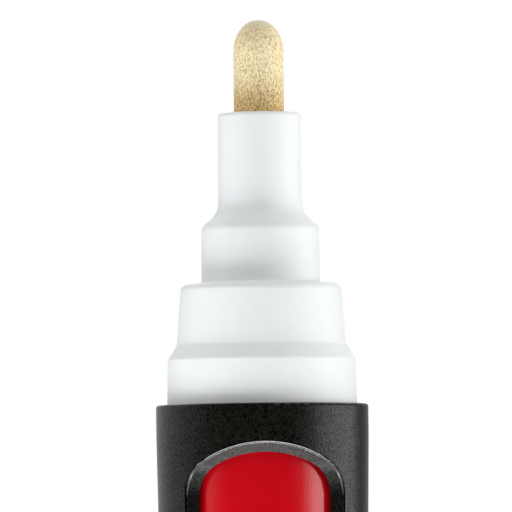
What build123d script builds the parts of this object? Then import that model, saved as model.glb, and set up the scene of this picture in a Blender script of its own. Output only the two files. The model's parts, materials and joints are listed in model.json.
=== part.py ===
from build123d import *
import math
import os

# Valve-action paint marker, standing nib up with its cap posted on the rear end.
# Lengths are in millimetres and angles in degrees. +Z runs along the axis towards the nib,
# -Y faces the window, and the origin is the middle of the cap's closed end.

# Fits shared by several pieces
slip_clearance = 0.05
running_clearance = 0.08
cap_clearance = 0.12
valve_gap = 0.06
cut_overrun = 1.0

# Barrel sleeve, measured back from its front plane
barrel_radius = 8.0
sleeve_wall = 0.8
sleeve_length = 96.0
sleeve_edge_radius = 0.2
collar_length = 2.4
waist_length = 66.0
waist_depth = 0.29
window_setback = 2.9
window_length = 64.0
window_cut_depth = 2.73
window_ramp_angle = 47.0
window_ramp_radius = 3.5
window_edge_radius = 0.3

# Reservoir can and the gasket on its rim
can_gap = 0.4
can_wall = 0.45
can_floor = 0.7
can_corner_radius = 2.0
gasket_thickness = 0.6

# Nib holder, outside, measured up from the sleeve's front plane
step_height = 3.4
step_draft = 0.08
shoulder_height = 1.15
band_height = 4.55
band_draft = 0.335
ring_height = 4.31
ring_draft = 0.035
ogee_angle = 50.0
tube_wall = 0.825
tube_height = 7.51
tube_draft = 0.04
step_edge_radius = 0.3
shoulder_root_radius = 0.5
band_edge_radius = 0.55
ring_root_radius = 0.2
rim_edge_radius = 0.3

# Nib holder, shares of the ledge from its tube out to its step, and of the ogee's own drop
band_radius_share = 0.805
ring_radius_share = 0.33
ogee_outer_share = 0.6
ogee_inner_share = 1.245

# Nib holder, hidden plug and its sealing beads
flange_depth = 2.0
plug_length = 7.5
plug_clearance = 0.25
plug_chamfer = 0.6
bead_section_radius = 0.3
bead_spacing = 2.4

# Nib holder, inside
mouth_land = 1.4
guide_relief = 0.35
guide_rib_width = 0.6
guide_rib_count = 5
ring_wall = 1.15
band_wall = 1.2
plug_wall = 0.9
valve_stop_height = 4.0

# Nib
nib_radius = 1.9
nib_reach = 7.04
nib_dome_height_share = 1.27
nib_dome_side_share = 1.57
nib_end_chamfer = 0.3
nib_travel = 2.4
nib_stop_gap = 0.1

# Valve behind the nib
valve_wall = 0.95
valve_roof = 1.2
valve_throat_radius = 2.2
valve_lip_thickness = 1.2
valve_lip_width = 0.8
seat_thickness = 1.4
seat_hole_radius_share = 0.36
seat_cone_depth = 0.8
pin_radius_share = 0.63
head_radius = 2.6
head_thickness = 0.8
rod_radius = 1.1
rod_reach = 0.6
retainer_thickness = 1.4
rod_hole_clearance = 0.15
inlet_radius_share = 0.225
inlet_count = 4

# Valve spring
spring_wire_radius = 0.25
spring_bore_clearance = 0.5
spring_turns = 8

# Mixing balls
ball_gap = 0.4
ball_side_gap = 0.35

# Rear plug
rear_flange_thickness = 1.6
rear_flange_edge_radius = 0.3
rear_plug_length = 7.0
rear_plug_wall = 1.2
spigot_gap = 1.05
nose_gap = 0.5
nose_side_gap = 0.6
nose_chamfer = 0.8

# Cap shell
cap_length = 37.0
cap_straight_length = 9.0
cap_taper = 0.5
cap_end_edge_radius = 1.3
cap_lip_edge_radius = 0.25
cap_end_wall = 2.2
cap_side_wall = 1.0

# Pocket clip on the cap
clip_width = 5.0
clip_thickness = 1.5
clip_gap = 1.3
clip_low = 3.0
clip_length = 27.0
clip_root_height = 5.0
clip_nip = 0.35
clip_bump_length = 2.2
clip_crown_radius = 1.8
clip_bump_radius = 0.6
clip_edge_radius = 0.45

# Inner cap and colour plug
liner_wall = 1.0
liner_collar_length = 6.0
liner_side_gap = 0.575
liner_end_gap = 2.8
color_rim_width = 0.7
color_plug_thickness = 1.2
color_plug_chamfer = 0.2
color_boss_radius = 2.0

# Radii that follow from the fits
sleeve_bore = barrel_radius - sleeve_wall
can_radius = sleeve_bore - can_gap
can_bore = can_radius - can_wall
step_radius = sleeve_bore - slip_clearance
plug_radius = can_bore - plug_clearance
guide_radius = nib_radius + running_clearance
guide_relief_radius = guide_radius + guide_relief
tube_radius = guide_relief_radius + tube_wall
ledge_width = step_radius - tube_radius
band_radius = tube_radius + band_radius_share * ledge_width
ring_radius = tube_radius + ring_radius_share * ledge_width
valve_bore = plug_radius - plug_wall
valve_radius = valve_bore - slip_clearance
valve_inside = valve_radius - valve_wall
seat_hole_radius = seat_hole_radius_share * valve_inside
pin_radius = pin_radius_share * seat_hole_radius
cap_mouth_radius = step_radius + cap_clearance
cap_bore = barrel_radius - cap_side_wall
cap_end_radius = barrel_radius - cap_taper
cap_end_bore = cap_end_radius - cap_side_wall
color_plug_radius = cap_end_radius - cap_end_edge_radius - color_rim_width
liner_seal_radius = band_radius + slip_clearance
nose_radius = liner_seal_radius - nose_side_gap
ball_radius = (can_bore - ball_side_gap - ball_gap / 2) / 2

# Places along the axis
sleeve_rear = cap_length + rear_flange_thickness
front = sleeve_rear + sleeve_length
step_top = front + step_height
band_bottom = step_top + shoulder_height
band_top = band_bottom + band_height
ring_top = band_top + ring_height
ogee_drop = ring_radius - ring_draft - tube_radius
ogee_top = ring_top + ogee_drop / math.tan(math.radians(ogee_angle))
rim = ogee_top + tube_height
nib_tip = rim + nib_reach
flange_bottom = front - flange_depth
plug_bottom = flange_bottom - plug_length
can_top = flange_bottom - gasket_thickness
rear_plug_top = sleeve_rear + rear_plug_length
can_bottom = rear_plug_top + slip_clearance
valve_stop = front + valve_stop_height
valve_bottom = plug_bottom - valve_lip_thickness
seat_top = valve_stop - valve_roof
seat_bottom = seat_top - seat_thickness
nib_rear = seat_top + nib_stop_gap + nib_travel
retainer_top = valve_bottom + retainer_thickness
cap_mouth_floor = cap_length - step_height - shoulder_height - shoulder_root_radius
liner_seal_floor = cap_length - step_height - shoulder_height - band_height
liner_bottom = cap_end_wall + liner_end_gap
liner_floor = liner_bottom + liner_wall

os.makedirs("parts", exist_ok=True)

# Barrel sleeve: a waisted tube with one long window milled flat through its front wall
waist_top = (barrel_radius, front - collar_length)
waist_middle = (barrel_radius - waist_depth, front - collar_length - waist_length / 2)
waist_bottom = (barrel_radius, front - collar_length - waist_length)
waist_tangents = [(-4 * waist_depth, waist_length), (4 * waist_depth, waist_length)]
window_flat = barrel_radius - window_cut_depth
window_top = front - window_setback
window_bottom = window_top - window_length
ramp_run = window_cut_depth / math.tan(math.radians(window_ramp_angle))
ramp_overrun = cut_overrun / math.tan(math.radians(window_ramp_angle))
with BuildPart() as barrel_sleeve:
    with BuildSketch(Plane.XZ) as sleeve_profile:
        with BuildLine():
            Polyline(waist_top, (barrel_radius, front), (sleeve_bore, front), (sleeve_bore, sleeve_rear))
            Polyline((sleeve_bore, sleeve_rear), (barrel_radius, sleeve_rear), waist_bottom)
            Spline(waist_bottom, waist_middle, waist_top, tangents=waist_tangents)
        make_face()
        for end in (front, sleeve_rear):
            outer_corner = sleeve_profile.vertices().sort_by_distance((barrel_radius, end))[0]
            fillet(outer_corner, sleeve_edge_radius)
    revolve()
    with BuildSketch(Plane.YZ) as window_profile:
        with BuildLine():
            Polyline(
                (-barrel_radius - cut_overrun, window_top + ramp_overrun),
                (-window_flat, window_top - ramp_run),
                (-window_flat, window_bottom + ramp_run),
                (-barrel_radius - cut_overrun, window_bottom - ramp_overrun),
                close=True,
            )
        make_face()
        fillet(window_profile.vertices().group_by(Axis.X)[-1], window_ramp_radius)
    extrude(amount=barrel_radius, both=True, mode=Mode.SUBTRACT)
    window_rim = [
        edge
        for edge in barrel_sleeve.edges(Select.LAST)
        if math.hypot((edge @ 0.5).X, (edge @ 0.5).Y) > sleeve_bore + slip_clearance
    ]
    fillet(window_rim, window_edge_radius)
barrel_sleeve.part.label = "barrel_sleeve"
export_step(barrel_sleeve.part, "parts/barrel_sleeve.step")

# Reservoir can: drawn cup with a rounded bottom corner and an open mouth
with BuildPart() as reservoir_can:
    with BuildSketch(Plane.XZ) as can_profile:
        with BuildLine():
            Polyline(
                (0, can_bottom),
                (can_radius, can_bottom),
                (can_radius, can_top),
                (can_bore, can_top),
                (can_bore, can_bottom + can_floor),
                (0, can_bottom + can_floor),
                close=True,
            )
        make_face()
        outer_corner = can_profile.vertices().sort_by_distance((can_radius, can_bottom))[0]
        fillet(outer_corner, can_corner_radius)
        inner_corner = can_profile.vertices().sort_by_distance((can_bore, can_bottom + can_floor))[0]
        fillet(inner_corner, can_corner_radius - can_wall)
    revolve()
reservoir_can.part.label = "reservoir_can"
export_step(reservoir_can.part, "parts/reservoir_can.step")

# Gasket between the can's rim and the holder's flange
with BuildPart() as can_gasket:
    with BuildSketch(Plane.XY.offset(can_top)):
        Circle(can_radius)
        Circle(plug_radius + slip_clearance, mode=Mode.SUBTRACT)
    extrude(amount=gasket_thickness)
can_gasket.part.label = "can_gasket"
export_step(can_gasket.part, "parts/can_gasket.step")

# Nib holder: stepped front section with a plug below, bored out for the nib and the valve
holder_outline = [
    (0, plug_bottom),
    (plug_radius, plug_bottom),
    (plug_radius, flange_bottom),
    (step_radius, flange_bottom),
    (step_radius, front),
    (step_radius - step_draft, step_top),
    (band_radius, band_bottom),
    (band_radius - band_draft, band_top),
    (ring_radius, band_top),
    (ring_radius - ring_draft, ring_top),
    (tube_radius, ogee_top),
    (tube_radius - tube_draft, rim),
    (0, rim),
]
holder_rounds = [
    ((step_radius - step_draft, step_top), step_edge_radius),
    ((band_radius, band_bottom), shoulder_root_radius),
    ((band_radius - band_draft, band_top), band_edge_radius),
    ((ring_radius, band_top), ring_root_radius),
    ((ring_radius - ring_draft, ring_top), ogee_outer_share * ogee_drop),
    ((tube_radius, ogee_top), ogee_inner_share * ogee_drop),
    ((tube_radius - tube_draft, rim), rim_edge_radius),
]
guide_bottom = ring_top - ring_wall
chamber_top = band_top - band_wall
holder_bore = [
    (0, plug_bottom),
    (valve_bore, plug_bottom),
    (valve_bore, valve_stop),
    (band_radius - band_draft - band_wall, valve_stop),
    (band_radius - band_draft - band_wall, chamber_top),
    (ring_radius - ring_wall, chamber_top),
    (ring_radius - ring_wall, guide_bottom),
    (guide_relief_radius, guide_bottom),
    (guide_relief_radius, rim - mouth_land),
    (guide_radius, rim - mouth_land),
    (guide_radius, rim),
    (0, rim),
]
bead_centre_radius = can_bore - slip_clearance - bead_section_radius
with BuildPart() as nib_holder:
    with BuildSketch(Plane.XZ) as holder_profile:
        with BuildLine():
            Polyline(*holder_outline, close=True)
        make_face()
        for corner, radius in holder_rounds:
            fillet(holder_profile.vertices().sort_by_distance(corner)[0], radius)
        plug_corner = holder_profile.vertices().sort_by_distance((plug_radius, plug_bottom))[0]
        chamfer(plug_corner, plug_chamfer)
        for index in (1, 2):
            with Locations((bead_centre_radius, flange_bottom - index * bead_spacing)):
                Circle(bead_section_radius)
        with BuildLine():
            Polyline(*holder_bore, close=True)
        make_face(mode=Mode.SUBTRACT)
    revolve()
    rib_depth = guide_relief + slip_clearance
    with BuildSketch(Plane.XY.offset(guide_bottom)):
        with PolarLocations(guide_radius + rib_depth / 2, guide_rib_count):
            Rectangle(rib_depth, guide_rib_width)
    extrude(amount=rim - mouth_land - guide_bottom)
nib_holder.part.label = "nib_holder"
export_step(nib_holder.part, "parts/nib_holder.step")

# Nib: round rod of bonded fibre with a bullet tip of two tangent arcs
nib_dome_height = nib_dome_height_share * nib_radius
nib_dome_side_radius = nib_dome_side_share * nib_radius
dome_base = nib_tip - nib_dome_height
side_spare = nib_dome_side_radius - nib_radius
tip_spare = nib_dome_side_radius - nib_dome_height
tip_centre_rise = (side_spare**2 - tip_spare**2) / (2 * tip_spare)
tip_radius = nib_dome_height - tip_centre_rise
side_turn = math.degrees(math.atan2(tip_centre_rise, side_spare))
with BuildPart() as nib:
    with BuildSketch(Plane.XZ):
        with BuildLine():
            shaft = Polyline(
                (0, nib_rear),
                (nib_radius - nib_end_chamfer, nib_rear),
                (nib_radius, nib_rear + nib_end_chamfer),
                (nib_radius, dome_base),
            )
            side = JernArc(shaft @ 1, (0, nib_dome_height), nib_dome_side_radius, side_turn)
            tip = JernArc(side @ 1, side % 1, tip_radius, 90 - side_turn)
            Line(tip @ 1, shaft @ 0)
        make_face()
    revolve()
nib.part.label = "nib"
export_step(nib.part, "parts/nib.step")

# Valve body: cup pressed into the holder, with a lip on the plug's end face
with BuildPart() as valve_body:
    with BuildSketch(Plane.XZ):
        with BuildLine():
            Polyline(
                (valve_throat_radius, valve_stop),
                (valve_throat_radius, seat_top),
                (valve_inside, seat_top),
                (valve_inside, valve_bottom),
                (valve_radius + valve_lip_width, valve_bottom),
                (valve_radius + valve_lip_width, plug_bottom),
                (valve_radius, plug_bottom),
                (valve_radius, valve_stop),
                close=True,
            )
        make_face()
    revolve()
valve_body.part.label = "valve_body"
export_step(valve_body.part, "parts/valve_body.step")

# Valve seat: soft ring under the roof of the cup, countersunk from below
cone_mouth_radius = seat_hole_radius + seat_cone_depth
with BuildPart() as valve_seat:
    with BuildSketch(Plane.XZ):
        with BuildLine():
            Polyline(
                (seat_hole_radius, seat_top),
                (seat_hole_radius, seat_bottom + seat_cone_depth),
                (cone_mouth_radius, seat_bottom),
                (valve_inside - slip_clearance, seat_bottom),
                (valve_inside - slip_clearance, seat_top),
                close=True,
            )
        make_face()
    revolve()
valve_seat.part.label = "valve_seat"
export_step(valve_seat.part, "parts/valve_seat.step")

# Valve stem: pin under the nib, conical head below the seat and a guide rod behind it
cone_drop = valve_gap / math.cos(math.radians(45))
head_top = seat_bottom + cone_mouth_radius - head_radius - cone_drop
head_bottom = head_top - head_thickness
cone_top = head_top + head_radius - pin_radius
rod_bottom = retainer_top - rod_reach
with BuildPart() as valve_stem:
    with BuildSketch(Plane.XZ):
        with BuildLine():
            Polyline(
                (0, nib_rear),
                (pin_radius, nib_rear),
                (pin_radius, cone_top),
                (head_radius, head_top),
                (head_radius, head_bottom),
                (rod_radius, head_bottom),
                (rod_radius, rod_bottom),
                (0, rod_bottom),
                close=True,
            )
        make_face()
    revolve()
valve_stem.part.label = "valve_stem"
export_step(valve_stem.part, "parts/valve_stem.step")

# Valve retainer: disc that guides the rod and lets paint in through a ring of holes
retainer_radius = valve_inside - slip_clearance
rod_hole_radius = rod_radius + rod_hole_clearance
with BuildPart() as valve_retainer:
    with BuildSketch(Plane.XY.offset(valve_bottom)):
        Circle(retainer_radius)
        Circle(rod_hole_radius, mode=Mode.SUBTRACT)
        with PolarLocations((retainer_radius + rod_hole_radius) / 2, inlet_count):
            Circle(inlet_radius_share * (retainer_radius - rod_hole_radius), mode=Mode.SUBTRACT)
    extrude(amount=retainer_thickness)
valve_retainer.part.label = "valve_retainer"
export_step(valve_retainer.part, "parts/valve_retainer.step")

# Valve spring: one wire wound as a helix of half turns, each made of two tangent arcs
spring_radius = rod_radius + spring_bore_clearance + spring_wire_radius
spring_low = retainer_top + slip_clearance + spring_wire_radius
spring_high = head_bottom - slip_clearance - spring_wire_radius
spring_pitch = (spring_high - spring_low) / spring_turns


def spring_point(turn):
    angle = math.radians(360 * turn)
    height = spring_low + spring_pitch * turn
    return Vector(spring_radius * math.cos(angle), spring_radius * math.sin(angle), height)


def spring_direction(turn):
    angle = math.radians(360 * turn)
    around = math.radians(360) * spring_radius
    return Vector(-around * math.sin(angle), around * math.cos(angle), spring_pitch).normalized()


def tangent_arcs(start_turn, end_turn):
    start = spring_point(start_turn)
    end = spring_point(end_turn)
    start_way = spring_direction(start_turn)
    end_way = spring_direction(end_turn)
    chord = end - start
    along = chord.dot(start_way + end_way)
    spread = 2 * (1 - start_way.dot(end_way))
    reach = (math.sqrt(along**2 + spread * chord.dot(chord)) - along) / spread
    first_knee = start + start_way * reach
    second_knee = end - end_way * reach
    middle = (first_knee + second_knee) * 0.5
    TangentArc(start, middle, tangent=start_way)
    TangentArc(middle, end, tangent=second_knee - first_knee)


with BuildPart() as valve_spring:
    with BuildLine() as spring_path:
        for half_turn in range(2 * spring_turns):
            tangent_arcs(half_turn / 2, (half_turn + 1) / 2)
    with BuildSketch(Plane(origin=spring_point(0), z_dir=spring_direction(0))):
        Circle(spring_wire_radius)
    sweep(path=spring_path.wires()[0])
samples_per_turn = 24
sample_count = spring_turns * samples_per_turn + 1
wire_points = [spring_point(index / samples_per_turn) for index in range(sample_count)]
least_distance = min(
    (point - other).length
    for index, point in enumerate(wire_points)
    for other in wire_points[index + samples_per_turn // 2 :]
)
print("valve spring, least gap between turns:", round(least_distance - 2 * spring_wire_radius, 3))
valve_spring.part.label = "valve_spring"
export_step(valve_spring.part, "parts/valve_spring.step")

# Two mixing balls, side by side on the floor of the can
ball_height = can_bottom + can_floor + slip_clearance + ball_radius
for index, side in enumerate((-1, 1), start=1):
    with BuildPart() as mixing_ball:
        with Locations((side * (ball_radius + ball_gap / 2), 0, ball_height)):
            Sphere(ball_radius)
    mixing_ball.part.label = f"mixing_ball_{index}"
    export_step(mixing_ball.part, f"parts/mixing_ball_{index}.step")

# Rear plug: hollow stopper with a flange behind the sleeve and a stepped spigot for the cap
spigot_bottom = cap_mouth_floor + spigot_gap
nose_bottom = liner_seal_floor + nose_gap
rear_plug_radius = sleeve_bore - slip_clearance
with BuildPart() as rear_plug:
    with BuildSketch(Plane.XZ) as rear_plug_profile:
        with BuildLine():
            Polyline(
                (0, nose_bottom),
                (nose_radius, nose_bottom),
                (nose_radius, spigot_bottom),
                (step_radius, spigot_bottom),
                (step_radius, cap_length),
                (barrel_radius, cap_length),
                (barrel_radius, sleeve_rear),
                (rear_plug_radius, sleeve_rear),
                (rear_plug_radius, rear_plug_top),
                (nose_radius - rear_plug_wall, rear_plug_top),
                (nose_radius - rear_plug_wall, nose_bottom + rear_plug_wall),
                (0, nose_bottom + rear_plug_wall),
                close=True,
            )
        make_face()
        for end in (cap_length, sleeve_rear):
            flange_corner = rear_plug_profile.vertices().sort_by_distance((barrel_radius, end))[0]
            fillet(flange_corner, rear_flange_edge_radius)
        nose_corner = rear_plug_profile.vertices().sort_by_distance((nose_radius, nose_bottom))[0]
        chamfer(nose_corner, nose_chamfer)
    revolve()
rear_plug.part.label = "rear_plug"
export_step(rear_plug.part, "parts/rear_plug.step")

# Pocket clip: a strip that springs from a root near the cap's closed end
clip_inner = barrel_radius + clip_gap
clip_outer = clip_inner + clip_thickness
clip_root = cap_end_radius - cap_side_wall / 2
clip_high = clip_low + clip_length
clip_bump_foot = clip_high - clip_bump_length
clip_tip = barrel_radius + clip_nip
with BuildPart() as pocket_clip:
    with BuildSketch(Plane.YZ) as clip_profile:
        with BuildLine():
            Polyline(
                (-clip_root, clip_low),
                (-clip_outer, clip_low),
                (-clip_outer, clip_high),
                (-clip_tip, clip_high),
                (-clip_tip, clip_bump_foot),
                (-clip_inner, clip_bump_foot - clip_bump_length),
                (-clip_inner, clip_low + clip_root_height),
                (-clip_root, clip_low + clip_root_height),
                close=True,
            )
        make_face()
        for end in (clip_low, clip_high):
            crown_corner = clip_profile.vertices().sort_by_distance((-clip_outer, end))[0]
            fillet(crown_corner, clip_crown_radius)
        for end in (clip_bump_foot, clip_high):
            bump_corner = clip_profile.vertices().sort_by_distance((-clip_tip, end))[0]
            fillet(bump_corner, clip_bump_radius)
    extrude(amount=clip_width / 2, both=True)
    side_faces = pocket_clip.faces().filter_by(Axis.X)
    outer_edges = [
        edge
        for face in side_faces
        for edge in face.edges()
        if (edge @ 0.5).Y < -clip_inner
    ]
    fillet(outer_edges, clip_edge_radius)

# Cap shell: tapered cup with a stepped bore, the clip, and a recess for the colour plug
recess_radius = color_plug_radius + slip_clearance
boss_hole_radius = color_boss_radius + slip_clearance
with BuildPart() as cap_shell:
    with BuildSketch(Plane.XZ) as cap_profile:
        with BuildLine():
            Polyline(
                (recess_radius, 0),
                (cap_end_radius, 0),
                (barrel_radius, cap_length - cap_straight_length),
                (barrel_radius, cap_length),
                (cap_mouth_radius, cap_length),
                (cap_mouth_radius, cap_mouth_floor),
                (cap_bore, cap_mouth_floor),
                (cap_bore, cap_mouth_floor - liner_collar_length),
                (cap_end_bore, cap_end_wall),
                (boss_hole_radius, cap_end_wall),
                (boss_hole_radius, color_plug_thickness),
                (recess_radius, color_plug_thickness),
                close=True,
            )
        make_face()
        end_corner = cap_profile.vertices().sort_by_distance((cap_end_radius, 0))[0]
        fillet(end_corner, cap_end_edge_radius)
        lip_corner = cap_profile.vertices().sort_by_distance((barrel_radius, cap_length))[0]
        fillet(lip_corner, cap_lip_edge_radius)
    revolve()
    add(pocket_clip.part)
cap_shell.part.label = "cap_shell"
export_step(cap_shell.part, "parts/cap_shell.step")

# Inner cap: liner whose collar sits in the shell and whose bore seals on the holder's band
liner_collar_bottom = cap_mouth_floor - liner_collar_length
liner_radius = cap_bore - liner_side_gap
liner_end_radius = cap_end_bore - liner_side_gap
with BuildPart() as inner_cap:
    with BuildSketch(Plane.XZ):
        with BuildLine():
            Polyline(
                (0, liner_bottom),
                (liner_end_radius, liner_bottom),
                (liner_radius, liner_collar_bottom),
                (cap_bore - slip_clearance, liner_collar_bottom),
                (cap_bore - slip_clearance, cap_mouth_floor),
                (liner_seal_radius, cap_mouth_floor),
                (liner_seal_radius, liner_seal_floor),
                (liner_radius - liner_wall, liner_seal_floor),
                (liner_end_radius - liner_wall, liner_floor),
                (0, liner_floor),
                close=True,
            )
        make_face()
    revolve()
nib_room = cap_length - (nib_tip - front) - liner_floor
print("closed cap, room left in front of the nib:", round(nib_room, 3))
inner_cap.part.label = "inner_cap"
export_step(inner_cap.part, "parts/inner_cap.step")

# Colour plug: disc in the cap's closed end, held by a boss through the end wall
with BuildPart() as cap_color_plug:
    with BuildSketch(Plane.XZ):
        with BuildLine():
            Polyline(
                (0, 0),
                (color_plug_radius - color_plug_chamfer, 0),
                (color_plug_radius, color_plug_chamfer),
                (color_plug_radius, color_plug_thickness),
                (color_boss_radius, color_plug_thickness),
                (color_boss_radius, cap_end_wall),
                (0, cap_end_wall),
                close=True,
            )
        make_face()
    revolve()
cap_color_plug.part.label = "cap_color_plug"
export_step(cap_color_plug.part, "parts/cap_color_plug.step")
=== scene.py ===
import json
import math
import bpy
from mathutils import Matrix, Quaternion, Vector, noise


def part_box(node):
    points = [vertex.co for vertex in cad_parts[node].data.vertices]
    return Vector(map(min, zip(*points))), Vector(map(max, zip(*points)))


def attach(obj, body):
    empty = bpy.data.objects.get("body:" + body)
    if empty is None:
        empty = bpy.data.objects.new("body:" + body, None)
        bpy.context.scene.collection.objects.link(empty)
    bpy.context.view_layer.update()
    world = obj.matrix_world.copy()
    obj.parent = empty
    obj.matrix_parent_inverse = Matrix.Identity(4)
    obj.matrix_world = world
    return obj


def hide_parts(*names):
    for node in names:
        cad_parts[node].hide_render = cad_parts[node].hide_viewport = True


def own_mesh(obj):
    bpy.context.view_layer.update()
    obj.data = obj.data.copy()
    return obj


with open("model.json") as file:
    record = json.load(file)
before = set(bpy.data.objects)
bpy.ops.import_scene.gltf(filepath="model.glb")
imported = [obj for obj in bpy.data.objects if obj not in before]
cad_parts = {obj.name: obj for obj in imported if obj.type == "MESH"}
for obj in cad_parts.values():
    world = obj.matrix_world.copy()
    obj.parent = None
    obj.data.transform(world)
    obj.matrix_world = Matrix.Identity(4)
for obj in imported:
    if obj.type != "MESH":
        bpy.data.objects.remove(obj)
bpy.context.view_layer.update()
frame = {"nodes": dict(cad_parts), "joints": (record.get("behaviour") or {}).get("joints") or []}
bpy.context.scene.view_settings.view_transform = "Standard"

# Reservoir can
# The paint is held in a drawn aluminium can, lacquered in the colour of the paint.
# It stands on the rear plug, and the barrel's window shows its side.


class Shade:
    """A number that changes over a surface. Arithmetic on it adds Math nodes."""

    def __init__(self, sheet, socket):
        self.sheet = sheet
        self.socket = socket

    def join(self, operation, first, second):
        return self.sheet.node("ShaderNodeMath", {"operation": operation}, {0: first, 1: second})

    def __add__(self, other):
        return self.join("ADD", self, other)

    def __radd__(self, other):
        return self.join("ADD", other, self)

    def __sub__(self, other):
        return self.join("SUBTRACT", self, other)

    def __rsub__(self, other):
        return self.join("SUBTRACT", other, self)

    def __mul__(self, other):
        return self.join("MULTIPLY", self, other)

    def __rmul__(self, other):
        return self.join("MULTIPLY", other, self)

    def __abs__(self):
        return self.sheet.node("ShaderNodeMath", {"operation": "ABSOLUTE"}, {0: self})


class NodeSheet:
    """A node tree and the one method that adds nodes to it."""

    def __init__(self, tree):
        self.tree = tree

    def node(self, kind, settings, inputs, output=0):
        made = self.tree.nodes.new(kind)
        for name, value in settings.items():
            setattr(made, name, value)
        for name, value in inputs.items():
            self.feed(made.inputs[name], value)
        return Shade(self, made.outputs[output])

    def feed(self, socket, value):
        if isinstance(value, Shade):
            self.tree.links.new(value.socket, socket)
        else:
            socket.default_value = value

    def ramp(self, value, low, high):
        """A smooth step from 0 at low to 1 at high."""
        settings = {"interpolation_type": "SMOOTHSTEP"}
        inputs = {"Value": value, "From Min": low, "From Max": high}
        return self.node("ShaderNodeMapRange", settings, inputs)

    def mix(self, amount, first, second):
        settings = {"data_type": "RGBA"}
        return self.node("ShaderNodeMix", settings, {0: amount, 6: first, 7: second}, output=2)

    def vector(self, operation, *vectors, output="Vector"):
        """Vector arithmetic. A length or a dot product is read from the output named Value."""
        settings = {"operation": operation}
        return self.node("ShaderNodeVectorMath", settings, dict(enumerate(vectors)), output)

    def ray(self, kind):
        """1 for rays of this kind, such as Is Camera Ray, and 0 for others."""
        return self.node("ShaderNodeLightPath", {}, {}, output=kind)


class Finish(NodeSheet):
    """A material on one Principled shader, read in the object's own coordinates."""

    def __init__(self, name, **constants):
        self.material = bpy.data.materials.new(name)
        self.material.use_nodes = True
        super().__init__(self.material.node_tree)
        self.shader = self.tree.nodes["Principled BSDF"]
        for key, value in constants.items():
            self.shader.inputs[key.replace("_", " ")].default_value = value
        self.place = self.node("ShaderNodeTexCoord", {}, {}, output="Object")

    def height(self):
        return self.node("ShaderNodeSeparateXYZ", {}, {0: self.place}, output="Z")

    def noise(self, cell, detail=2.0, roughness=0.5, stretch=(1, 1, 1)):
        """Noise from 0 to 1 whose blotches are about one cell across, in metres."""
        spot = self.vector("MULTIPLY", self.place, tuple(axis / cell for axis in stretch))
        inputs = {"Vector": spot, "Scale": 1.0, "Detail": detail, "Roughness": roughness}
        return self.node("ShaderNodeTexNoise", {}, inputs)

    def bump(self, height, depth):
        """Turns a height from 0 to 1 into a relief of that depth, in metres."""
        inputs = {"Strength": 1.0, "Distance": depth, "Height": height}
        self.feed(self.shader.inputs["Normal"], self.node("ShaderNodeBump", {}, inputs))

    def color(self, value):
        self.feed(self.shader.inputs["Base Color"], value)

    def roughness(self, value):
        self.feed(self.shader.inputs["Roughness"], value)

    def dress(self, *names):
        for name in names:
            materials = frame["nodes"][name].data.materials
            materials.clear()
            materials.append(self.material)


lacquer_deep = (0.53, 0.0014, 0.0064, 1)
lacquer_clear = (0.58, 0.0018, 0.0084, 1)
red_lacquer = Finish("red_lacquer", Specular_IOR_Level=0.5, Coat_Weight=1.0, Coat_Roughness=0.2)
flow = red_lacquer.noise(cell=0.006, detail=1.0)
drawn = red_lacquer.noise(cell=0.00016, stretch=(1, 1, 0.3))
red_lacquer.color(red_lacquer.mix(flow, lacquer_deep, lacquer_clear))
red_lacquer.roughness(0.18 + 0.06 * flow)
red_lacquer.bump(drawn, depth=0.000024)
red_lacquer.dress("reservoir_can")

# Mixing balls
# Two loose balls of polished bearing steel stir the paint when the marker is shaken.
# They roll free on the floor of the can.
steel_dark = (0.56, 0.56, 0.57, 1)
steel_bright = (0.66, 0.66, 0.67, 1)
ball_steel = Finish("ball_steel", Metallic=1.0)
lapping = ball_steel.noise(cell=0.0004, detail=3.0, stretch=(1, 6, 1))
ball_steel.color(ball_steel.mix(lapping, steel_dark, steel_bright))
ball_steel.roughness(0.08 + 0.1 * lapping)
ball_steel.dress("mixing_ball_1", "mixing_ball_2")

# Gasket and valve seat
# Both seals are die-cut or moulded from grey nitrile rubber.
# The gasket lies on the can's rim, and the seat is pushed up under the roof of the valve cup.
rubber_dark = (0.055, 0.056, 0.058, 1)
rubber_pale = (0.085, 0.086, 0.088, 1)
soft_seal = Finish("soft_seal", Specular_IOR_Level=0.35)
bloom = soft_seal.noise(cell=0.0012, detail=3.0)
skin = soft_seal.noise(cell=0.0002)
soft_seal.color(soft_seal.mix(bloom, rubber_dark, rubber_pale))
soft_seal.roughness(0.7 + 0.15 * bloom)
soft_seal.bump(skin, depth=0.000012)
soft_seal.dress("can_gasket", "valve_seat")

# Valve body, stem and retainer, and the inner cap
# All four are moulded from undyed polyethylene, milky and slightly waxy.
# The cup is pressed into the holder, the stem slides in it, and the liner is pressed into the cap.
milky_dark = (0.70, 0.70, 0.65, 1)
milky_pale = (0.79, 0.79, 0.74, 1)
glow_depth = 0.0006
natural_plastic = Finish(
    "natural_plastic", Specular_IOR_Level=0.4, Subsurface_Weight=0.2, Subsurface_Scale=glow_depth
)
haze = natural_plastic.noise(cell=0.0025)
grain = natural_plastic.noise(cell=0.00025)
natural_plastic.color(natural_plastic.mix(haze, milky_dark, milky_pale))
natural_plastic.roughness(0.42 + 0.12 * haze)
natural_plastic.bump(grain, depth=0.000006)
natural_plastic.dress("valve_body", "valve_stem", "valve_retainer", "inner_cap")

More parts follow.
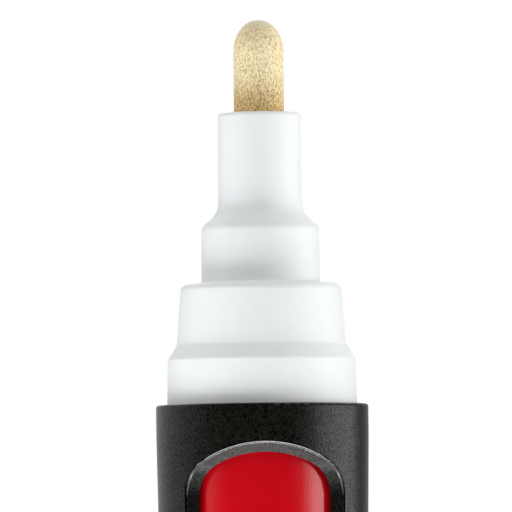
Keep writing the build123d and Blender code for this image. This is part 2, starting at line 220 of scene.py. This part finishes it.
# Valve spring
# A stainless wire wound open, which keeps fine lines from drawing. It stands on the retainer
# and pushes the stem's head and the nib forward. The real spring shortens as the nib goes in; this one keeps
# its rest length.
spring_low, spring_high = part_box("valve_spring")
spring_length = spring_high.z - spring_low.z
spring_turns = 8
wire_radius = 0.00025
wire_sides = 20
steps_per_turn = 48
merge_distance = 0.000001
wire_place = (spring_high.x - wire_radius, 0, spring_low.z + wire_radius)
wire_turn = (math.pi / 2, 0, 0)
bpy.ops.object.select_all(action="DESELECT")
bpy.ops.mesh.primitive_circle_add(
    vertices=wire_sides, radius=wire_radius, location=wire_place, rotation=wire_turn
)
coil = bpy.context.object
coil.name = "wound_spring"
bpy.ops.object.transform_apply()
winding = coil.modifiers.new("winding", "SCREW")
winding.axis = "Z"
winding.screw_offset = (spring_length - 2 * wire_radius) / spring_turns
winding.iterations = spring_turns
winding.steps = winding.render_steps = steps_per_turn
bpy.ops.object.modifier_apply(modifier=winding.name)
bpy.ops.object.mode_set(mode="EDIT")
bpy.ops.mesh.select_all(action="SELECT")
bpy.ops.mesh.remove_doubles(threshold=merge_distance)
bpy.ops.mesh.fill_holes(sides=0)
bpy.ops.mesh.select_all(action="SELECT")
bpy.ops.mesh.normals_make_consistent(inside=False)
bpy.ops.object.mode_set(mode="OBJECT")
bpy.ops.object.shade_smooth_by_angle(angle=math.radians(40))

wire_dark = (0.42, 0.42, 0.43, 1)
wire_bright = (0.62, 0.62, 0.63, 1)
spring_steel = Finish("spring_steel", Metallic=1.0)
drawing = spring_steel.noise(cell=0.0001, detail=3.0, stretch=(1, 1, 4))
spring_steel.color(spring_steel.mix(drawing, wire_dark, wire_bright))
spring_steel.roughness(0.24 + 0.16 * drawing)
spring_steel.bump(drawing, depth=0.000004)
coil.data.materials.append(spring_steel.material)
nib_travel = next(joint["range_m"][1] for joint in frame["joints"] if joint["name"] == "nib_press")
pressed_share = 1 - nib_travel / spring_length
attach(coil, "barrel")
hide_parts("valve_spring")
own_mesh(coil)

# Nib holder
# The stepped front section is one moulding in white polypropylene with a fine satin grain.
# Its plug seals in the can's mouth, and its ribbed tube guides the nib.
white_dark = (0.845, 0.88, 0.88, 1)
white_pale = (0.90, 0.93, 0.93, 1)
white_plastic = Finish(
    "white_plastic", Specular_IOR_Level=0.4, Subsurface_Weight=0.15, Subsurface_Scale=glow_depth
)
cloud = white_plastic.noise(cell=0.0012, detail=3.0, roughness=0.65)
satin = white_plastic.noise(cell=0.00022, roughness=0.6)
white_plastic.color(white_plastic.mix(cloud, white_dark, white_pale))
white_plastic.roughness(0.46 + 0.12 * satin)
white_plastic.bump(satin, depth=0.000008)
white_plastic.dress("nib_holder")

# Nib
# A rod of bonded polyester fibre, ground to a bullet tip. The fibres run along it and stand
# a little proud of the pores between them. It slides in the holder's tube.
nib_low, nib_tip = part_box("nib")
tube_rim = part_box("nib_holder")[1].z
nib_radius = nib_tip.x
nib_end_chamfer = 0.0003
dome_height = 1.27 * nib_radius
dome_side_radius = 1.57 * nib_radius
fibre_width = 0.00011
fibre_length = 0.00028
fibre_relief = 0.00003
nib_sides = 480
row_height = 0.00007
rows_in_tube = 6


def lathe(name, outline, sides):
    """A mesh turned about the Z axis from (radius, height) points that start and end on the axis."""
    mesh = bpy.data.meshes.new(name)
    points = [(radius, 0, height) for radius, height in outline]
    mesh.from_pydata(points, [(index, index + 1) for index in range(len(points) - 1)], [])
    turned = bpy.data.objects.new(name, mesh)
    bpy.context.scene.collection.objects.link(turned)
    bpy.ops.object.select_all(action="DESELECT")
    turned.select_set(True)
    bpy.context.view_layer.objects.active = turned
    bpy.ops.object.mode_set(mode="EDIT")
    bpy.ops.mesh.select_all(action="SELECT")
    bpy.ops.mesh.spin(steps=sides, angle=2 * math.pi, center=(0, 0, 0), axis=(0, 0, 1))
    bpy.ops.mesh.select_all(action="SELECT")
    bpy.ops.mesh.remove_doubles(threshold=merge_distance)
    bpy.ops.mesh.normals_make_consistent(inside=False)
    bpy.ops.object.mode_set(mode="OBJECT")
    bpy.ops.object.shade_smooth()
    return turned


# The dome is a side arc and a tip arc that meet on one tangent.
side_spare = dome_side_radius - nib_radius
tip_spare = dome_side_radius - dome_height
tip_centre_rise = (side_spare**2 - tip_spare**2) / (2 * tip_spare)
tip_round = dome_height - tip_centre_rise
side_turn = math.atan2(tip_centre_rise, side_spare)
tip_turn = math.pi / 2 - side_turn
dome_base = nib_tip.z - dome_height
shaft_rows = round((dome_base - tube_rim) / row_height) + rows_in_tube
side_rows = round(dome_side_radius * side_turn / row_height)
tip_rows = round(tip_round * tip_turn / row_height)
nib_outline = [(0, nib_low.z), (nib_radius - nib_end_chamfer, nib_low.z)]
nib_outline.append((nib_radius, nib_low.z + nib_end_chamfer))
nib_outline += [(nib_radius, dome_base - row * row_height) for row in range(shaft_rows, 0, -1)]
for row in range(side_rows):
    turn = side_turn * row / side_rows
    side_place = dome_side_radius * math.cos(turn) - side_spare
    nib_outline.append((side_place, dome_base + dome_side_radius * math.sin(turn)))
for row in range(tip_rows + 1):
    turn = side_turn + tip_turn * row / tip_rows
    rise = tip_centre_rise + tip_round * math.sin(turn)
    nib_outline.append((tip_round * math.cos(turn), dome_base + rise))
fibre_nib = lathe("fibre_nib", nib_outline, nib_sides)
nib_points = fibre_nib.data.vertices
pores = []
for point in nib_points:
    place = point.co
    fibre = noise.noise((place.x / fibre_width, place.y / fibre_width, place.z / fibre_length))
    pores.append(0.5 - 0.5 * fibre)
pore_layer = fibre_nib.data.attributes.new("pore", "FLOAT", "POINT")
pore_layer.data.foreach_set("value", pores)
sunk = [point.co - point.normal * fibre_relief * pore for point, pore in zip(nib_points, pores)]
for point, place in zip(nib_points, sunk):
    point.co = place

# The stained colours darken the fibre towards the holder's rim: partly a stain of paint, partly painted
# shade where the rim shades the nib.
straw_green = (0.54, 0.43, 0.16, 1)
straw_brown = (0.68, 0.44, 0.20, 1)
straw_stained_shaded = (0.24, 0.13, 0.02, 1)
cream_yellow = (0.97, 0.89, 0.55, 1)
cream_pink = (0.99, 0.85, 0.63, 1)
cream_stained_shaded = (0.86, 0.53, 0.14, 1)
# Painted shade: the top of the dome is greyer, as it faces up.
dome_shade_grey = (0.78, 0.72, 0.58, 1)
stain_shade_low = tube_rim - 0.0006
stain_shade_high = tube_rim + 0.0034
dome_shade_low = nib_tip.z - 0.0010
dome_shade_high = nib_tip.z - 0.0001
nib_fibre = Finish("nib_fibre", Specular_IOR_Level=0.2, Subsurface_Weight=0.2, Subsurface_Scale=0.0003)
pore = nib_fibre.node("ShaderNodeAttribute", {"attribute_name": "pore"}, {}, output="Fac")
strand = nib_fibre.noise(cell=0.00008, stretch=(1, 1, 0.45))
hue = nib_fibre.noise(cell=0.00016, detail=1.0, stretch=(1, 1, 0.4))
height = nib_fibre.height()
paleness = nib_fibre.ramp(1.1 * strand - 0.3 * pore, 0.18, 0.52)
tint = nib_fibre.ramp(hue, 0.35, 0.65)
# Darker and more orange towards the holder's rim: a paint stain plus painted shade from the rim.
stain_and_shade = 1.0 - nib_fibre.ramp(height, stain_shade_low, stain_shade_high)
straw = nib_fibre.mix(0.9 * stain_and_shade, nib_fibre.mix(tint, straw_green, straw_brown), straw_stained_shaded)
cream = nib_fibre.mix(0.7 * stain_and_shade, nib_fibre.mix(tint, cream_yellow, cream_pink), cream_stained_shaded)
# Painted shade on the dome's top, which faces up.
dome_top_shade = nib_fibre.ramp(height, dome_shade_low, dome_shade_high)
nib_fibre.color(nib_fibre.mix(0.7 * dome_top_shade, nib_fibre.mix(paleness, straw, cream), dome_shade_grey))
nib_fibre.roughness(0.8 + 0.15 * strand)
fibre_nib.data.materials.append(nib_fibre.material)
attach(fibre_nib, "nib_plunger")
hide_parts("nib")

# Barrel sleeve and cap shell
# Both are black mouldings with a fine spark-eroded grain. The sleeve's window is a level cut in its front
# wall,
# with a smooth edge: painted shade as a dark line where it rounds over, a painted highlight along the ramped
# ends.
sleeve_bore = 0.0072
window_middle = 0.0995
window_reach = 0.0335
window_fade = 0.0005
wall_fade = 0.0001
ramped_end_start = window_reach - 0.0055
ramped_end_full = window_reach - 0.0037
grain_and_shade_black = (0.0, 0.0, 0.0, 1)
grain_pale = (0.0140, 0.0142, 0.0110, 1)
# The grey of the painted highlight along the window's ramped ends.
highlight_grey = (0.50, 0.50, 0.50, 1)
black_plastic = Finish("black_plastic", Specular_IOR_Level=0.36, Coat_Roughness=0.25)
spark = black_plastic.noise(cell=0.00012, roughness=0.6)
pit = black_plastic.ramp(spark, 0.42, 0.60)
spoke = black_plastic.vector("MULTIPLY", black_plastic.place, (1, 1, 0))
radius = black_plastic.vector("LENGTH", spoke, output="Value")
outward = black_plastic.vector("NORMALIZE", spoke)
surface_way = black_plastic.node("ShaderNodeTexCoord", {}, {}, output="Normal")
lean = 1.0 - black_plastic.vector("DOT_PRODUCT", surface_way, outward, output="Value")
along = abs(black_plastic.height() - window_middle)
window_zone = 1.0 - black_plastic.ramp(along, window_reach, window_reach + window_fade)
in_wall = black_plastic.ramp(radius, sleeve_bore + wall_fade, sleeve_bore + 2 * wall_fade)
edge_zone = in_wall * window_zone
# Painted shade: a dark line where the window's edge rounds over, black and without any reflection.
dark_line_band = black_plastic.ramp(lean, 0.002, 0.008) * (1.0 - black_plastic.ramp(lean, 0.09, 0.15))
# Painted highlight: a bright, smoother, metallic grey stretch along the window's ramped ends.
highlight_band = black_plastic.ramp(lean, 0.05, 0.09) * (1.0 - black_plastic.ramp(lean, 0.18, 0.26))
painted_dark_line = edge_zone * dark_line_band
painted_edge_highlight = edge_zone * highlight_band * black_plastic.ramp(along, ramped_end_start, ramped_end_full)
grained = black_plastic.mix(painted_dark_line, black_plastic.mix(pit, grain_and_shade_black, grain_pale), grain_and_shade_black)
black_plastic.color(black_plastic.mix(painted_edge_highlight, grained, highlight_grey))
black_plastic.roughness((0.22 + 0.14 * spark) * (1.0 - 0.4 * painted_edge_highlight))
black_plastic.feed(black_plastic.shader.inputs["Metallic"], painted_dark_line + painted_edge_highlight * (1.0 - painted_dark_line))
black_plastic.feed(black_plastic.shader.inputs["Coat Weight"], 0.6 * pit * (1.0 - painted_dark_line))
black_plastic.bump(spark * (1.0 - painted_edge_highlight), depth=0.00003)
black_plastic.dress("barrel_sleeve", "cap_shell")

# Rear plug and colour plug
# Both are moulded in the colour of the paint, smooth from a polished mould.
# The rear plug closes the barrel and takes the posted cap, and the disc marks the cap's end.
plug_deep = (0.48, 0.0020, 0.0080, 1)
plug_clear = (0.56, 0.0035, 0.0110, 1)
red_plastic = Finish("red_plastic", Specular_IOR_Level=0.5)
swirl = red_plastic.noise(cell=0.003, detail=3.0)
red_plastic.color(red_plastic.mix(swirl, plug_deep, plug_clear))
red_plastic.roughness(0.28 + 0.1 * swirl)
red_plastic.bump(swirl, depth=0.000004)
red_plastic.dress("rear_plug", "cap_color_plug")

# Floor
# A pale shooting table, on which the marker stands. It keeps the marker's shadow nearby and
# fades to white far off. Gloss doesn't mirror it, so black and red stay clean.
table_size = 3.0
fade_start = 0.04
fade_end = 0.30
white_distance = 1.30


def grey(level):
    return (level, level, level, 1)


bpy.ops.object.select_all(action="DESELECT")
bpy.ops.mesh.primitive_plane_add(size=table_size)
table = bpy.context.object
table.name = "table"
pale_table = Finish("pale_table", Specular_IOR_Level=0.2, Roughness=0.7, Emission_Strength=1.0)
distance = pale_table.vector("LENGTH", pale_table.place, output="Value")
far = pale_table.ramp(distance, fade_start, fade_end)
horizon = pale_table.ramp(distance, fade_end, white_distance)
watched = pale_table.ray("Is Camera Ray")
mirrored = pale_table.ray("Is Glossy Ray")
paper = pale_table.mix(watched, grey(0.88), pale_table.mix(far, grey(0.66), grey(0.0)))
pale_table.color(pale_table.mix(mirrored, paper, grey(0.10)))
glow = pale_table.mix(far, grey(0.36), grey(0.88))
glow = pale_table.mix(0.1 * pale_table.noise(cell=0.2), glow, grey(0.80))
glow = pale_table.mix(horizon, glow, grey(1.0))
pale_table.feed(pale_table.shader.inputs["Emission Color"], pale_table.mix(watched, grey(0.0), glow))
table.data.materials.append(pale_table.material)

# Studio light
# A white room, bright only behind the marker and to its left. Soft boxes stand to the right and
# behind, low strips put glints on the window's edge, and fill lamps without glints light the white.
bright_way = (-0.605, 0.796, 0.0)
room_level = 0.54
lamp_aim = Vector((0, 0, 0.15))
beam = 120
world = bpy.data.worlds.new("studio")
bpy.context.scene.world = world
world.use_nodes = True
world.cycles.sampling_method = "NONE"
room = NodeSheet(world.node_tree)
sky = room.tree.nodes["Background"]
way = room.node("ShaderNodeTexCoord", {}, {}, output="Generated")
facing = room.vector("DOT_PRODUCT", way, bright_way, output="Value")
level = room_level * room.ramp(facing, -0.12, 0.91)
level = level + room.ray("Is Camera Ray") * (1.0 - level)
room.feed(sky.inputs["Strength"], level)
sky.inputs["Color"].default_value = (1, 1, 1, 1)


def softbox(name, turn, lift, reach, size, radiance, spread=180):
    """A soft box aimed at the front end, turned to the right of the camera and lifted by degrees."""
    width, height = size
    lamp = bpy.data.lights.new(name, "AREA")
    lamp.shape = "RECTANGLE"
    lamp.size = width
    lamp.size_y = height
    lamp.spread = math.radians(spread)
    half = lamp.spread / 2
    narrowing = math.tan(half) / (math.tan(half) - half) if spread < 180 else 1
    lamp.energy = 4 * radiance * width * height / narrowing
    holder = bpy.data.objects.new(name, lamp)
    bpy.context.scene.collection.objects.link(holder)
    turn, lift = math.radians(turn), math.radians(lift)
    flat = reach * math.cos(lift)
    away = Vector((flat * math.sin(turn), -flat * math.cos(turn), reach * math.sin(lift)))
    holder.location = lamp_aim + away
    holder.rotation_euler = (-away).to_track_quat("-Z", "Y").to_euler()
    holder.visible_camera = False
    return holder


softbox("right_softbox", turn=90, lift=0, reach=0.40, size=(0.42, 0.24), radiance=1.36)
softbox("back_softbox", turn=180, lift=40, reach=0.45, size=(0.34, 0.20), radiance=1.50)
softbox("soft_edge", turn=58, lift=0, reach=0.40, size=(0.08, 0.24), radiance=0.42)
glints = [
    softbox("table_glint", turn=0, lift=-76, reach=0.12, size=(0.12, 0.04), radiance=2.97, spread=beam),
    softbox("front_glint", turn=0, lift=-43, reach=0.15, size=(0.22, 0.03), radiance=1.20, spread=beam),
]
for lamp in glints:
    lamp.visible_diffuse = False
fills = [
    softbox("low_front_fill", turn=0, lift=-60, reach=0.135, size=(0.16, 0.10), radiance=0.69, spread=beam),
    softbox("low_left_fill", turn=-42, lift=-60, reach=0.135, size=(0.12, 0.10), radiance=4.20, spread=beam),
    softbox("high_front_fill", turn=0, lift=55, reach=0.35, size=(0.30, 0.30), radiance=1.73),
    softbox("high_left_fill", turn=-80, lift=45, reach=0.35, size=(0.24, 0.30), radiance=0.56),
    softbox("high_right_fill", turn=75, lift=45, reach=0.35, size=(0.30, 0.30), radiance=0.37),
    softbox("left_fill", turn=-85, lift=0, reach=0.40, size=(0.24, 0.30), radiance=1.15),
    softbox("low_right_fill", turn=60, lift=-25, reach=0.40, size=(0.30, 0.30), radiance=0.82),
    softbox("right_fill", turn=90, lift=0, reach=0.44, size=(0.264, 0.33), radiance=2.00),
]
for lamp in fills:
    lamp.visible_glossy = False

# Camera
# It looks at the front end from a little below, close up through a long lens,
# and leans by the small angle at which the marker stands in the photograph.
camera_distance = 0.650
camera_height = 0.1202
camera_turn = math.radians(-1.5)
aim_height = 0.14582
sideways = -0.000346
roll = math.radians(0.62)
camera_lens = 606.9
camera_sensor = 36
right_way = Vector((math.cos(camera_turn), math.sin(camera_turn), 0))
camera_place = Vector((math.sin(camera_turn), -math.cos(camera_turn), 0)) * camera_distance
camera_place += right_way * sideways
camera_place.z = camera_height
camera_aim = right_way * sideways
camera_aim.z = aim_height
camera_data = bpy.data.cameras.new("camera")
camera_data.lens = camera_lens
camera_data.sensor_width = camera_sensor
camera_data.clip_start = 0.01
camera = bpy.data.objects.new("camera", camera_data)
bpy.context.scene.collection.objects.link(camera)
camera.location = camera_place
look = (camera_aim - camera_place).to_track_quat("-Z", "Y")
camera.rotation_euler = (look @ Quaternion((0, 0, 1), -roll)).to_euler()
bpy.context.scene.camera = camera
